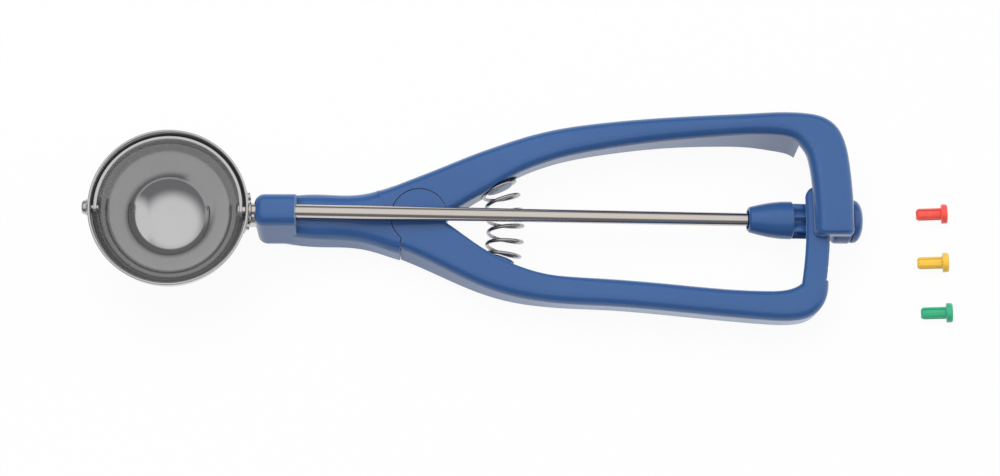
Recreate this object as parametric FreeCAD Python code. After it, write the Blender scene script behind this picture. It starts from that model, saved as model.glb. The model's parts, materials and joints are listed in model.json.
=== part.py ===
import FreeCAD
import Part
import math
import os

# Lever ice cream scoop, lying on a table. The table is z = 0, the handle loop lies level,
# x runs from the bowl to the rear arm, and the bowl's centre stands over x = 0, y = 0.
# The rod is not level: it falls from the bowl to the rear arm, and the bowl, the scraper,
# the rod, the pinion and the rear bearing are drawn square to it and then tilted.

V = FreeCAD.Vector
Z_AXIS = V(0, 0, 1)
Y_AXIS = V(0, 1, 0)
X_AXIS = V(1, 0, 0)

# Bowl, in mm
BOWL_INSIDE_R = 22.0
BOWL_WALL = 0.8
RIM_HEIGHT = 2.6
LIP_HEIGHT = 1.9
LIP_OUT = 0.6
LIP_ROUND = 0.35
BOWL_OUTSIDE_R = BOWL_INSIDE_R + BOWL_WALL

# The rod's centre line, and where the bowl's wall meets the saddle along it: a bowl of another
# size keeps that seat, and its centre moves along the rod
ROD_TILT_DEG = 4.6
ROD_HEIGHT = 22.8
SADDLE_SEAT = 22.8
BOWL_PLACE = SADDLE_SEAT - BOWL_OUTSIDE_R

# Drive rod and its front journal
ROD_R = 2.0
JOURNAL_R = 1.5
RUNNING_GAP = 0.05
ROD_WASHER_R = 3.0
ROD_WASHER_THICK = 0.5
THRUST_GAP = 0.1
STAKE_R = 2.2
STAKE_THICK = 0.6

# Scraper strip
SCRAPER_GAP = 0.3
SCRAPER_THICK = 1.0
SCRAPER_HALF_WIDTH = 3.2
SCRAPER_FRONT_HALF_WIDTH = 1.9
SCRAPER_REST_DEG = -2.5

# Front pin
FRONT_PIN_R = 1.0
PIN_HEAD_R = 2.05
PIN_HEAD_THICK = 1.2
FRONT_WASHER_R = 2.4
FRONT_WASHER_THICK = 0.4
FRONT_PIN_INSIDE = 0.6

# Saddle, its rivets and the shank bar
SADDLE_THICK = 0.6
SADDLE_HALF_WIDTH = 5.8
SADDLE_BELOW = 9.4
SADDLE_ABOVE = 0.6
SADDLE_BORE_GAP = 0.1
RIVET_R = 0.9
RIVET_HEAD_R = 1.2
RIVET_HEAD_THICK = 0.7
RIVET_SIDE = 4.3
RIVET_DROP = RIVET_R + 0.5
BAR_WIDTH = 6.0
BAR_TOP = -3.4
BAR_HEIGHT = 5.2
BAR_END = 34.0

# Head and neck of the fixed handle
HEAD_FRONT_GAP = 0.8
HEAD_LENGTH = 12.0
ROD_SHOULDER = SADDLE_SEAT + SADDLE_THICK + ROD_WASHER_THICK + THRUST_GAP
HEAD_START = ROD_SHOULDER + HEAD_FRONT_GAP
HEAD_END = HEAD_START + HEAD_LENGTH
HEAD_TOP = 24.1
HEAD_BOTTOM = 4.8
HEAD_HALF_BOTTOM = 7.7
HEAD_HALF_TOP = 4.3
HEAD_ROUND = 3.4
HEAD_FRONT_ROUND = 3.0

# Pivot of the lever
PIVOT_X = 72.8
DISC_R = 8.2
DISC_GAP = 0.3
DISC_TOP = 13.9
DISC_BOTTOM = 8.0
LAP_TOP = 7.4
LAP_BOTTOM = 1.4
SEAM_AHEAD = 5.4
SEAM_X = PIVOT_X - SEAM_AHEAD
SEAM_Y = -6.0
SEAM_GAP = 0.3
SEAM_SLANT_DEG = 7.0
PIVOT_PIN_R = 2.5
PIVOT_HEAD_R = 3.4
PIVOT_HEAD_THICK = 1.2
PIVOT_CAP_R = 3.9
PIVOT_CAP_THICK = 1.2
PIVOT_WASHER_R = 5.0
PIVOT_WASHER_THICK = 0.5
CLIP_R = 4.4
CLIP_THICK = 0.6
CLIP_RECESS = 1.6

# Grips: their undersides are level where they lie on the table
GRIP_TOP_ROUND = 3.0
NECK_BOTTOM_ROUND = 2.0
FOOT_HEIGHT = 0.05

# Pitch circle of the rack about the pivot, and where it crosses the rod
MODULE = 1.2
RACK_CIRCLE_TEETH = 196
RACK_PITCH_R = MODULE * RACK_CIRCLE_TEETH / 2.0
RACK_X = PIVOT_X + RACK_PITCH_R

# Rear arms: the fixed plate lies over the lever's arm
ARM_TOP = 15.1
ARM_GAP = 0.3
ARM_INSIDE = 3.3
ARM_OUTSIDE = 3.6
ARM_INNER_R = RACK_PITCH_R - ARM_INSIDE
ARM_OUTER_R = RACK_PITCH_R + ARM_OUTSIDE
ARM_TIP_DEG = 2.6
ARM_ROOT_DEG = -10.6
PLATE_TOP = 19.6
PLATE_END_Y = -6.6
PLATE_END_ROUND = 1.6
FLANGE_END_Y = -4.0
SWING_GAP = 0.6
GRIP_END_X = RACK_X - 5.0
SWING_END_Y = 25.2

# Rack and pinion
PINION_TEETH = 7
PRESSURE_DEG = 20.0
RACK_ADDENDUM = 0.55
PINION_ADDENDUM = 1.2
TIP_GAP = 0.25
FLANK_GAP = 0.13
RACK_TEETH = 6
RACK_TEETH_BEYOND_ROD = 1
PINION_PITCH_R = MODULE * PINION_TEETH / 2.0
PINION_TIP_R = PINION_PITCH_R + PINION_ADDENDUM
PINION_ROOT_R = PINION_PITCH_R - RACK_ADDENDUM - TIP_GAP
RACK_TIP_W = PINION_PITCH_R - RACK_ADDENDUM
RACK_ROOT_W = PINION_TIP_R + TIP_GAP
CONE_LENGTH = 13.1
TEETH_BEFORE_RACK = 6.4
TEETH_BEYOND_RACK = 4.4
CONE_END = RACK_X - TEETH_BEFORE_RACK
CONE_START = CONE_END - CONE_LENGTH
CONE_LARGE_R = 5.65
CONE_MOUTH_R = 2.9
CONE_MOUTH_DEPTH = 1.8
CONE_EDGE = 0.3
# Outline of the cone: distance from its mouth, and radius
CONE_OUTLINE = [(0.0, 3.4), (0.5, 3.85), (3.5, 4.6), (6.5, 5.2), (9.5, 5.55)]
TEETH_END = RACK_X + TEETH_BEYOND_RACK

# Rear bearing
BARREL_R = 6.65
BARREL_LENGTH = 5.7
BARREL_START = TEETH_END + 1.2
BARREL_END = BARREL_START + BARREL_LENGTH
BARREL_ROUND = 1.2
BEARING_R = 4.35
HOLLOW_R = 2.65
HOLLOW_END_GAP = 0.4
ROD_END = TEETH_END - 0.8
CAP_SKIRT_R = 5.3
CAP_SKIRT_LENGTH = 1.5
CAP_SKIRT_GAP = 0.2
JOURNAL_END = BARREL_END - CAP_SKIRT_LENGTH - CAP_SKIRT_GAP
CAP_R = 6.4
CAP_EDGE = 0.8
CAP_DOME = 2.4
CAP_GAP = 0.2
CAP_TUBE_R = 2.6
SOCKET_R = 2.0
SOCKET_DEPTH = 7.6
SOCKET_FLOOR = 0.8
CAP_TIP = BARREL_END + CAP_EDGE + CAP_DOME
CAP_TUBE_START = CAP_TIP - SOCKET_DEPTH - SOCKET_FLOOR
HOLLOW_START = CAP_TUBE_START - HOLLOW_END_GAP

# Handle spring
WIRE_R = 0.55
COIL_R = 5.15
SPRING_TURNS = 6.5
SPRING_Z = 6.6
SPRING_UPPER = V(PIVOT_X + 22.9, 12.0, SPRING_Z)
SPRING_LOWER = V(PIVOT_X + 23.6, -13.6, SPRING_Z)
SPRING_BEND_DEG = 20.0
SPRING_START_DEG = 216.0
CLOSED_COILS = 0.1
SEAT_R = 6.1
SEAT_GAP = 0.08
PEG_R = 3.9
PEG_LENGTH = 3.0

# Loose marker plugs
PLUG_HEAD_R = 2.9
PLUG_HEAD_THICK = 1.85
PLUG_BODY_R = 1.9
PLUG_CORE_R = 1.5
PLUG_RIB_WIDTH = 0.9
PLUG_LENGTH = 7.45
PLUG_CHAMFER = 0.5
PLUG_PLACES = {"plug_red": (229.1, 3.2), "plug_yellow": (228.9, -11.7), "plug_green": (229.4, -27.0)}

# The stations of the neck and the grips are drawn for this pivot and this pitch circle, and
# stretch with them
DRAWN_PIVOT_X = 72.8
DRAWN_RACK_PITCH_R = 117.6
# Outlines of the two grips, as stations from the neck to the rear, the last of them past the
# end of the plate and cut off with it: outer edge x and y, inner edge x and y, underside z,
# top z, how much further out the underside stands on the outer and the inner side, and the
# rounds of the outer foot, the inner foot and the inner top
FIXED_GRIP = [
    (60.0, 8.6, 66.0, -5.0, 2.0, 14.0, 1.2, 0.0, 2.0, 2.0, 3.0),
    (68.0, 11.2, 73.5, -3.0, 1.5, 13.9, 1.0, 0.0, 2.0, 2.0, 3.0),
    (75.6, 14.2, 80.6, 0.6, 1.4, 13.9, 0.8, 0.0, 2.0, 2.0, 2.7),
    (82.3, 16.9, 87.2, 4.9, 1.4, 13.9, 0.5, -0.3, 2.2, 2.4, 2.5),
    (89.3, 19.7, 93.6, 8.7, 1.3, 13.9, 0.2, -0.6, 2.4, 2.8, 2.5),
    (97.2, 22.5, 100.7, 13.1, 1.1, 14.0, 0.0, -0.8, 2.6, 3.2, 2.5),
    (104.6, 24.9, 107.3, 16.1, 1.0, 14.1, 0.0, -0.8, 2.6, 3.4, 2.6),
    (113.2, 27.0, 115.0, 18.6, 0.8, 14.3, 0.0, -0.8, 2.6, 3.4, 2.7),
    (126.6, 28.9, 127.4, 21.1, 0.4, 14.7, 0.0, -0.8, 2.6, 3.4, 2.8),
    (145.6, 30.4, 145.9, 23.4, 0.0, 15.4, 0.0, -0.5, 2.6, 3.4, 3.0),
    (162.0, 30.8, 162.0, 24.2, 0.0, 17.2, 0.0, 0.0, 2.6, 3.0, 3.0),
    (172.8, 30.9, 172.6, 24.2, 0.0, 18.7, 0.0, 0.5, 2.6, 2.2, 3.0),
    (180.4, 31.0, 179.3, 23.6, 0.0, 19.5, 0.0, 0.9, 2.6, 1.4, 3.0),
    (187.0, 30.7, 183.3, 22.7, 0.0, PLATE_TOP, 0.0, 0.7, 2.6, 1.2, 3.0),
    (192.8, 29.4, 185.5, 20.9, 0.5, PLATE_TOP, 0.0, 0.2, 2.4, 1.8, 3.0),
    (196.8, 26.2, 187.1, 18.6, 2.0, PLATE_TOP, 0.0, 0.0, 2.0, 1.8, 3.0),
    (199.1, 20.8, 188.0, 15.6, 4.0, PLATE_TOP, 0.0, 0.0, 2.0, 1.8, 3.0),
    (200.1, 14.4, 188.6, 11.4, 4.5, PLATE_TOP, 0.0, 0.0, 2.0, 1.8, 3.0),
    (200.6, 7.6, 189.0, 6.4, 4.5, PLATE_TOP, 0.0, 0.0, 2.0, 1.8, 3.0),
    (200.8, 0.6, 189.2, 0.2, 4.5, PLATE_TOP, 0.0, 0.0, 2.0, 1.8, 3.0),
    (200.8, -6.6, 189.2, -6.0, 4.5, PLATE_TOP, 0.0, 0.0, 2.0, 1.8, 3.0),
    (200.8, -13.6, 189.2, -12.6, 4.5, PLATE_TOP, 0.0, 0.0, 2.0, 1.8, 3.0),
]
LEVER_GRIP = [
    (61.5, -8.6, 66.5, 3.6, 2.0, DISC_TOP, 2.0, 0.0, 2.0, 2.0, 2.4),
    (68.0, -10.5, 72.6, 1.8, 1.5, DISC_TOP, 2.2, 0.0, 2.0, 2.0, 2.0),
    (74.6, -13.4, 78.9, -0.6, 1.4, DISC_TOP, 2.2, 0.0, 2.2, 2.0, 1.5),
    (81.8, -16.9, 86.0, -5.5, 1.4, DISC_TOP, 1.9, 0.0, 2.4, 2.0, 1.2),
    (90.4, -20.8, 94.4, -11.2, 1.3, DISC_TOP, 1.4, 0.0, 2.8, 2.0, 1.2),
    (99.4, -23.7, 102.3, -14.9, 1.1, 14.0, 0.8, 0.0, 3.2, 2.0, 1.2),
    (108.5, -25.3, 110.3, -17.2, 0.9, 14.1, 0.2, 0.0, 3.6, 2.0, 1.6),
    (117.6, -26.1, 118.3, -18.1, 0.6, 14.3, -0.3, 0.0, 3.9, 2.0, 2.0),
    (126.4, -26.5, 126.6, -18.6, 0.3, 14.6, -0.6, 0.0, 4.0, 2.0, 2.4),
    (145.0, -28.0, 145.6, -20.2, 0.0, ARM_TOP, -0.8, 0.0, 4.0, 2.0, 2.6),
    (162.0, -29.7, 162.4, -21.8, 0.0, ARM_TOP, -0.8, 0.0, 4.0, 2.0, 2.6),
    (174.6, -30.8, 174.6, -22.4, 0.0, ARM_TOP, -0.8, 0.0, 4.0, 2.0, 2.6),
    (182.4, -31.0, 180.8, -22.1, 0.0, ARM_TOP, -0.8, 0.0, 4.0, 2.0, 2.4),
    (188.3, -29.5, 184.6, -20.7, 0.0, ARM_TOP, -0.6, 0.0, 3.6, 2.0, 2.2),
    (191.6, -26.2, 186.3, -18.9, 0.0, ARM_TOP, -0.4, 0.0, 3.0, 2.0, 2.0),
    (193.2, -21.6, 187.0, -16.9, 0.0, ARM_TOP, 0.0, 0.0, 2.4, 2.0, 1.6),
    (193.8, -16.6, 187.0, -14.0, 0.0, ARM_TOP, 0.0, 0.0, 2.0, 2.0, 1.2),
]
# Stations of the neck: x, half width at the foot and at the top, underside z and top z
NECK = [
    (30.0, 7.0, 5.0, 5.6, 17.4),
    (38.0, 7.8, 6.0, 4.6, 17.0),
    (50.0, 7.9, 6.3, 3.2, 15.5),
    (56.5, 8.5, 7.0, 2.5, 14.5),
    (62.0, 9.9, 8.7, 1.9, 14.0),
    (69.0, 11.6, 10.4, 1.5, 13.9),
]
NECK_TOP_ROUND = 4.6

TILT = math.radians(ROD_TILT_DEG)
ROD_FRAME = FreeCAD.Placement(V(0, 0, ROD_HEIGHT), FreeCAD.Rotation(Y_AXIS, ROD_TILT_DEG))


def tilted(shape):
    """Take a shape from the rod's own frame to the table's."""
    moved = shape.copy()
    moved.Placement = ROD_FRAME.multiply(moved.Placement)
    return moved


def at_bowl(shape):
    """Take a shape from the bowl's own centre to its place on the rod."""
    moved = shape.copy()
    moved.translate(V(BOWL_PLACE, 0, 0))
    return tilted(moved)


def stretched(x):
    """Where a station drawn at x lies for the pivot and the pitch circle in use."""
    if x < DRAWN_PIVOT_X:
        return x * PIVOT_X / DRAWN_PIVOT_X
    return PIVOT_X + (x - DRAWN_PIVOT_X) * RACK_PITCH_R / DRAWN_RACK_PITCH_R


def cylinder(radius, start, end, axis=Z_AXIS, foot=V(0, 0, 0)):
    """A cylinder along axis from start to end, measured from foot."""
    return Part.makeCylinder(radius, end - start, foot + axis * start, axis)


def box(low, high):
    """A box between two corners."""
    return Part.makeBox(high[0] - low[0], high[1] - low[1], high[2] - low[2], V(*low))


def turned(points, axis_foot, axis, degrees=360.0):
    """A solid turned from a closed profile."""
    wire = Part.makePolygon(points + [points[0]])
    return Part.Face(wire).revolve(axis_foot, axis, degrees)


def rounded_section(points, radii, place):
    """A closed wire through corner points with tangent arcs at the corners."""
    count = len(points)
    starts = []
    mids = []
    ends = []
    for i, corner in enumerate(points):
        to_last = (points[i - 1] - corner).normalize()
        to_next = (points[(i + 1) % count] - corner).normalize()
        half = math.acos(max(-1.0, min(1.0, to_last.dot(to_next)))) / 2.0
        reach = radii[i] / math.tan(half)
        bisector = (to_last + to_next).normalize()
        centre = corner + bisector * (radii[i] / math.sin(half))
        starts.append(corner + to_last * reach)
        ends.append(corner + to_next * reach)
        mids.append(centre - bisector * radii[i])
    edges = []
    for i in range(count):
        edges.append(Part.Arc(place(starts[i]), place(mids[i]), place(ends[i])).toShape())
        edges.append(Part.LineSegment(place(ends[i]), place(starts[(i + 1) % count])).toShape())
    return Part.Wire(edges)


def grip_section(station):
    """The upright section of a grip between its outer and inner edge."""
    outer_x, outer_y, inner_x, inner_y, low, high, outer_flare, inner_flare = station[:8]
    outer_foot_round, inner_foot_round, inner_top_round = station[8:]
    outer = V(stretched(outer_x), outer_y, 0)
    inner = V(stretched(inner_x), inner_y, 0)
    width = (outer - inner).Length
    along = (outer - inner) * (1.0 / width)
    corners = [
        V(-inner_flare / 2.0, low, 0),
        V(width + outer_flare / 2.0, low, 0),
        V(width - outer_flare / 2.0, high, 0),
        V(inner_flare / 2.0, high, 0),
    ]
    radii = [inner_foot_round, outer_foot_round, GRIP_TOP_ROUND, inner_top_round]
    return rounded_section(corners, radii, lambda p: inner + along * p.x + Z_AXIS * p.y)


def keystone_section(x, half_foot, half_top, low, high, foot_round, top_round):
    """The section of the head or the neck, wider at its foot."""
    corners = [V(half_foot, low, 0), V(-half_foot, low, 0), V(-half_top, high, 0), V(half_top, high, 0)]
    radii = [foot_round, foot_round, top_round, top_round]
    return rounded_section(corners, radii, lambda p: V(x, p.x, p.y))


def rod_z(x):
    """Height of the rod's centre line over the table."""
    return ROD_HEIGHT - x * math.tan(TILT)


# Bowl: a half sphere with a short upright wall and a flared lip, all turned in one profile


def make_bowl():
    r_in = BOWL_INSIDE_R
    r_out = BOWL_OUTSIDE_R
    slant = math.sqrt(0.5)
    lip_foot = RIM_HEIGHT - LIP_HEIGHT
    edges = [
        Part.Arc(V(0, 0, -r_out), V(r_out * slant, 0, -r_out * slant), V(r_out, 0, 0)).toShape(),
        Part.LineSegment(V(r_out, 0, 0), V(r_out, 0, lip_foot)).toShape(),
        Part.LineSegment(V(r_out, 0, lip_foot), V(r_out + LIP_OUT, 0, RIM_HEIGHT)).toShape(),
        Part.LineSegment(V(r_out + LIP_OUT, 0, RIM_HEIGHT), V(r_in + LIP_OUT, 0, RIM_HEIGHT)).toShape(),
        Part.LineSegment(V(r_in + LIP_OUT, 0, RIM_HEIGHT), V(r_in, 0, lip_foot)).toShape(),
        Part.LineSegment(V(r_in, 0, lip_foot), V(r_in, 0, 0)).toShape(),
        Part.Arc(V(r_in, 0, 0), V(r_in * slant, 0, -r_in * slant), V(0, 0, -r_in)).toShape(),
        Part.LineSegment(V(0, 0, -r_in), V(0, 0, -r_out)).toShape(),
    ]
    shell = Part.Face(Part.Wire(edges)).revolve(V(0, 0, 0), Z_AXIS, 360)
    rim_edges = []
    for edge in shell.Edges:
        box_of_edge = edge.BoundBox
        at_top = abs(box_of_edge.ZMin - RIM_HEIGHT) < 0.01 and abs(box_of_edge.ZMax - RIM_HEIGHT) < 0.01
        if at_top and box_of_edge.XLength > 2.0 * r_in - 0.1:
            rim_edges.append(edge)
    shell = shell.makeFillet(LIP_ROUND, rim_edges)
    front_hole = cylinder(FRONT_PIN_R, -r_out - 2.0, -r_in + 2.0, X_AXIS)
    rear_hole = cylinder(JOURNAL_R + RUNNING_GAP, r_in - 2.0, r_out + 2.0, X_AXIS)
    shell = shell.cut(front_hole).cut(rear_hole)
    for hole in rivet_pair(RIVET_R, r_in - 2.0, r_out + 2.0):
        shell = shell.cut(hole)
    return shell


def rivet_pair(radius, start, end):
    """Two short cylinders square to the bowl's wall, one on each side of the rod."""
    pair = []
    for side in (-1, 1):
        reach = math.sqrt(BOWL_OUTSIDE_R ** 2 - RIVET_SIDE ** 2 - RIVET_DROP ** 2)
        aim = V(reach, side * RIVET_SIDE, -RIVET_DROP)
        pair.append(cylinder(radius, start, end, aim.normalize()))
    return pair


def make_saddle_rivets():
    outside = BOWL_OUTSIDE_R + SADDLE_THICK
    shanks = rivet_pair(RIVET_R, BOWL_INSIDE_R + 0.02, outside + 0.3)
    heads = rivet_pair(RIVET_HEAD_R, outside - 0.2, outside + RIVET_HEAD_THICK)
    solids = []
    for shank, head in zip(shanks, heads):
        cut_head = head.cut(Part.makeSphere(outside))
        solids.append(shank.cut(cut_head).fuse(cut_head).removeSplitter())
    return Part.makeCompound(solids)


def make_bowl_shank():
    inside = BOWL_OUTSIDE_R
    outside = inside + SADDLE_THICK
    foot = math.asin(SADDLE_BELOW / inside)
    low_in, mid_in = [V(inside * math.cos(a), 0, -inside * math.sin(a)) for a in (foot, foot / 2.0)]
    low_out, mid_out = [V(outside * math.cos(a), 0, -outside * math.sin(a)) for a in (foot, foot / 2.0)]
    edges = [
        Part.Arc(low_in, mid_in, V(inside, 0, 0)).toShape(),
        Part.LineSegment(V(inside, 0, 0), V(inside, 0, SADDLE_ABOVE)).toShape(),
        Part.LineSegment(V(inside, 0, SADDLE_ABOVE), V(outside, 0, SADDLE_ABOVE)).toShape(),
        Part.LineSegment(V(outside, 0, SADDLE_ABOVE), V(outside, 0, 0)).toShape(),
        Part.Arc(V(outside, 0, 0), mid_out, low_out).toShape(),
        Part.LineSegment(low_out, low_in).toShape(),
    ]
    spread = math.degrees(math.asin(SADDLE_HALF_WIDTH / outside))
    saddle = Part.Face(Part.Wire(edges)).revolve(V(0, 0, 0), Z_AXIS, 2.0 * spread)
    saddle.rotate(V(0, 0, 0), Z_AXIS, -spread)
    bar_end = BAR_END - BOWL_PLACE
    bar = box((inside / 2.0, -BAR_WIDTH / 2.0, BAR_TOP - BAR_HEIGHT), (bar_end, BAR_WIDTH / 2.0, BAR_TOP))
    bar = bar.cut(Part.makeSphere(inside + SADDLE_THICK / 2.0))
    shank = saddle.fuse(bar).removeSplitter()
    shank = shank.cut(cylinder(JOURNAL_R + SADDLE_BORE_GAP, 20, 30, X_AXIS))
    for hole in rivet_pair(RIVET_R, 20, 30):
        shank = shank.cut(hole)
    return shank


# Scraper: a strip of the sphere just inside the bowl, with an eye on the axis at each end


def make_scraper():
    outside = BOWL_INSIDE_R - SCRAPER_GAP
    inside = outside - SCRAPER_THICK
    shell = Part.makeSphere(outside).cut(Part.makeSphere(inside))
    rear = SCRAPER_HALF_WIDTH
    front = SCRAPER_FRONT_HALF_WIDTH
    outline = [V(-30, 0, -front), V(30, 0, -rear), V(30, 0, rear), V(-30, 0, front)]
    band = Part.Face(Part.makePolygon(outline + [outline[0]])).extrude(V(0, 30, 0))
    blade = shell.common(band)
    blade = blade.fuse(shell.common(cylinder(rear, 10, 30, X_AXIS)))
    blade = blade.fuse(shell.common(cylinder(front, -30, -10, X_AXIS))).removeSplitter()
    blade = blade.cut(cylinder(JOURNAL_R, 10, 30, X_AXIS))
    blade = blade.cut(cylinder(FRONT_PIN_R + RUNNING_GAP, -30, -10, X_AXIS))
    blade.rotate(V(0, 0, 0), X_AXIS, SCRAPER_REST_DEG)
    return blade


def make_front_pin():
    head_face = -(BOWL_OUTSIDE_R + LIP_OUT + FRONT_WASHER_THICK)
    head_end = head_face - PIN_HEAD_THICK
    inner_end = -(BOWL_INSIDE_R - SCRAPER_GAP - SCRAPER_THICK - FRONT_PIN_INSIDE)
    head = cylinder(PIN_HEAD_R, head_end, head_face, X_AXIS)
    rim = [e for e in head.Edges if abs(e.CenterOfMass.x - head_end) < 0.01 and e.Closed]
    head = head.makeFillet(0.8, rim)
    return head.fuse(cylinder(FRONT_PIN_R, head_face, inner_end, X_AXIS)).removeSplitter()


def make_front_washer():
    near = -(BOWL_OUTSIDE_R + LIP_OUT)
    ring = cylinder(FRONT_WASHER_R, near - FRONT_WASHER_THICK, near, X_AXIS)
    return ring.cut(cylinder(FRONT_PIN_R, -40, 0, X_AXIS))


def make_drive_rod():
    strip_inside = BOWL_INSIDE_R - SCRAPER_GAP - SCRAPER_THICK
    stake_face = BOWL_PLACE + math.sqrt(strip_inside ** 2 - STAKE_R ** 2)
    rod = cylinder(ROD_R, ROD_SHOULDER, ROD_END, X_AXIS)
    rod = rod.fuse(cylinder(JOURNAL_R, stake_face - 0.1, ROD_SHOULDER, X_AXIS))
    rod = rod.fuse(cylinder(STAKE_R, stake_face - STAKE_THICK, stake_face, X_AXIS))
    return rod.removeSplitter()


def make_rod_washer():
    ring = cylinder(ROD_WASHER_R, ROD_SHOULDER - ROD_WASHER_THICK, ROD_SHOULDER, X_AXIS)
    return ring.cut(cylinder(JOURNAL_R, 10, 40, X_AXIS))


# Pinion: a hollow mouthed cone, seven involute teeth and a journal that runs in the barrel


def involute_flank(base_r, start_r, end_r, half_at_base, side):
    """Points of one tooth flank between two radii, in the plane square to the rod."""
    points = []
    steps = 4
    for i in range(steps + 1):
        r = start_r + (end_r - start_r) * i / steps
        roll = math.sqrt(max(0.0, (r / base_r) ** 2 - 1.0))
        angle = half_at_base - (roll - math.atan(roll))
        points.append(V(0, side * r * math.sin(angle), r * math.cos(angle)))
    return points


def make_pinion_tooth():
    pressure = math.radians(PRESSURE_DEG)
    base_r = PINION_PITCH_R * math.cos(pressure)
    involute_at_pitch = math.tan(pressure) - pressure
    half_tooth = math.pi * MODULE / 4.0 - FLANK_GAP / 2.0
    half_at_base = half_tooth / PINION_PITCH_R + involute_at_pitch
    right = involute_flank(base_r, base_r, PINION_TIP_R, half_at_base, 1)
    left = involute_flank(base_r, base_r, PINION_TIP_R, half_at_base, -1)
    deep = PINION_ROOT_R - 0.4
    right_foot = V(0, deep * math.sin(half_at_base), deep * math.cos(half_at_base))
    left_foot = V(0, -right_foot.y, right_foot.z)
    right_curve = Part.BSplineCurve()
    right_curve.interpolate(right)
    left_curve = Part.BSplineCurve()
    left_curve.interpolate(left)
    edges = [
        Part.LineSegment(right_foot, right[0]).toShape(),
        right_curve.toShape(),
        Part.Arc(right[-1], V(0, 0, PINION_TIP_R), left[-1]).toShape(),
        left_curve.toShape(),
        Part.LineSegment(left[0], left_foot).toShape(),
        Part.LineSegment(left_foot, right_foot).toShape(),
    ]
    face = Part.Face(Part.Wire(Part.__sortEdges__(edges)))
    tooth = face.extrude(V(TEETH_END - CONE_END + 0.6, 0, 0))
    tooth.translate(V(CONE_END - 0.6, 0, 0))
    return tooth


def make_pinion():
    profile = [(CONE_START, 0.0)]
    profile += [(CONE_START + distance, radius) for distance, radius in CONE_OUTLINE]
    profile += [
        (CONE_END - CONE_EDGE, CONE_LARGE_R), (CONE_END, CONE_LARGE_R - CONE_EDGE), (CONE_END, PINION_ROOT_R),
        (TEETH_END, PINION_ROOT_R), (TEETH_END, BEARING_R - RUNNING_GAP),
        (JOURNAL_END, BEARING_R - RUNNING_GAP), (JOURNAL_END, 0.0),
    ]
    body = turned([V(x, 0, r) for x, r in profile], V(0, 0, 0), X_AXIS)
    tooth = make_pinion_tooth()
    for i in range(PINION_TEETH):
        one = tooth.copy()
        one.rotate(V(0, 0, 0), X_AXIS, 360.0 * i / PINION_TEETH)
        body = body.fuse(one)
    body = body.removeSplitter()
    body = body.cut(cylinder(ROD_R, CONE_START - 1, ROD_END, X_AXIS))
    body = body.cut(cylinder(HOLLOW_R, HOLLOW_START, JOURNAL_END + 1, X_AXIS))
    return body.cut(cylinder(CONE_MOUTH_R, CONE_START - 1, CONE_START + CONE_MOUTH_DEPTH, X_AXIS))


# Rear cap: a dome with a skirt in the barrel and a blind socket for a marker plug


def make_rear_cap():
    tip = CAP_TIP
    skirt = cylinder(CAP_SKIRT_R, BARREL_END - CAP_SKIRT_LENGTH, BARREL_END, X_AXIS)
    tube = cylinder(CAP_TUBE_R, CAP_TUBE_START, BARREL_END, X_AXIS)
    mouth = SOCKET_R + 0.5
    slant = math.sqrt(0.5)
    shoulder = BARREL_END + CAP_EDGE
    middle = V(shoulder + CAP_DOME * slant, 0, mouth + (CAP_R - mouth) * slant)
    edges = [
        Part.LineSegment(V(BARREL_END, 0, 0), V(BARREL_END, 0, CAP_R)).toShape(),
        Part.LineSegment(V(BARREL_END, 0, CAP_R), V(shoulder, 0, CAP_R)).toShape(),
        Part.Arc(V(shoulder, 0, CAP_R), middle, V(tip, 0, mouth)).toShape(),
        Part.LineSegment(V(tip, 0, mouth), V(tip, 0, 0)).toShape(),
        Part.LineSegment(V(tip, 0, 0), V(BARREL_END, 0, 0)).toShape(),
    ]
    dome = Part.Face(Part.Wire(edges)).revolve(V(0, 0, 0), X_AXIS, 360)
    cap = dome.fuse(skirt).fuse(tube).removeSplitter()
    return cap.cut(cylinder(SOCKET_R, tip - SOCKET_DEPTH, tip + 1, X_AXIS))


# Handle spring: a helix round a bent centre line


def spring_axis():
    """Centre, radius and start direction of the spring's bent centre line."""
    chord = SPRING_LOWER - SPRING_UPPER
    bend = math.radians(SPRING_BEND_DEG)
    radius = chord.Length / 2.0 / math.sin(bend)
    towards_middle = V(chord.y, -chord.x, 0).normalize()
    centre = (SPRING_UPPER + SPRING_LOWER) * 0.5 + towards_middle * (radius * math.cos(bend))
    return centre, radius, towards_middle


def spring_station(share):
    """Point, direction and outward side of the centre line at a share of its length."""
    centre, radius, towards_middle = spring_axis()
    bend = math.radians(SPRING_BEND_DEG)
    angle = bend * (1.0 - 2.0 * share)
    out = towards_middle * (-math.cos(angle)) + (SPRING_UPPER - SPRING_LOWER).normalize() * math.sin(angle)
    along = Z_AXIS.cross(out)
    if along.dot(SPRING_LOWER - SPRING_UPPER) < 0:
        along = along * -1.0
    return centre + out * radius, along, out


def spring_point(turn):
    """A point of the wire's centre line, turn counted from the upper end."""
    t = turn / SPRING_TURNS
    share = t - CLOSED_COILS * math.sin(2.0 * math.pi * t) / (2.0 * math.pi)
    foot, along, out = spring_station(share)
    angle = 2.0 * math.pi * turn + math.radians(SPRING_START_DEG)
    return foot + out * (COIL_R * math.cos(angle)) + Z_AXIS * (COIL_R * math.sin(angle))


def spring_direction(turn):
    """Unit tangent of the wire at a turn."""
    small = 0.0005
    low = max(0.0, turn - small)
    high = min(SPRING_TURNS, turn + small)
    return (spring_point(high) - spring_point(low)).normalize()


def biarc(start, start_dir, end, end_dir):
    """Two arcs that leave start and reach end in the given directions."""
    chord = end - start
    total = start_dir + end_dir
    a = 2.0 * (1.0 - start_dir.dot(end_dir))
    b = 2.0 * chord.dot(total)
    c = -chord.dot(chord)
    reach = (-b + math.sqrt(b * b - 4.0 * a * c)) / (2.0 * a)
    first = start + start_dir * reach
    second = end - end_dir * reach
    joint = (first + second) * 0.5
    return [tangent_arc(start, first, joint), tangent_arc(joint, second, end)]


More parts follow.
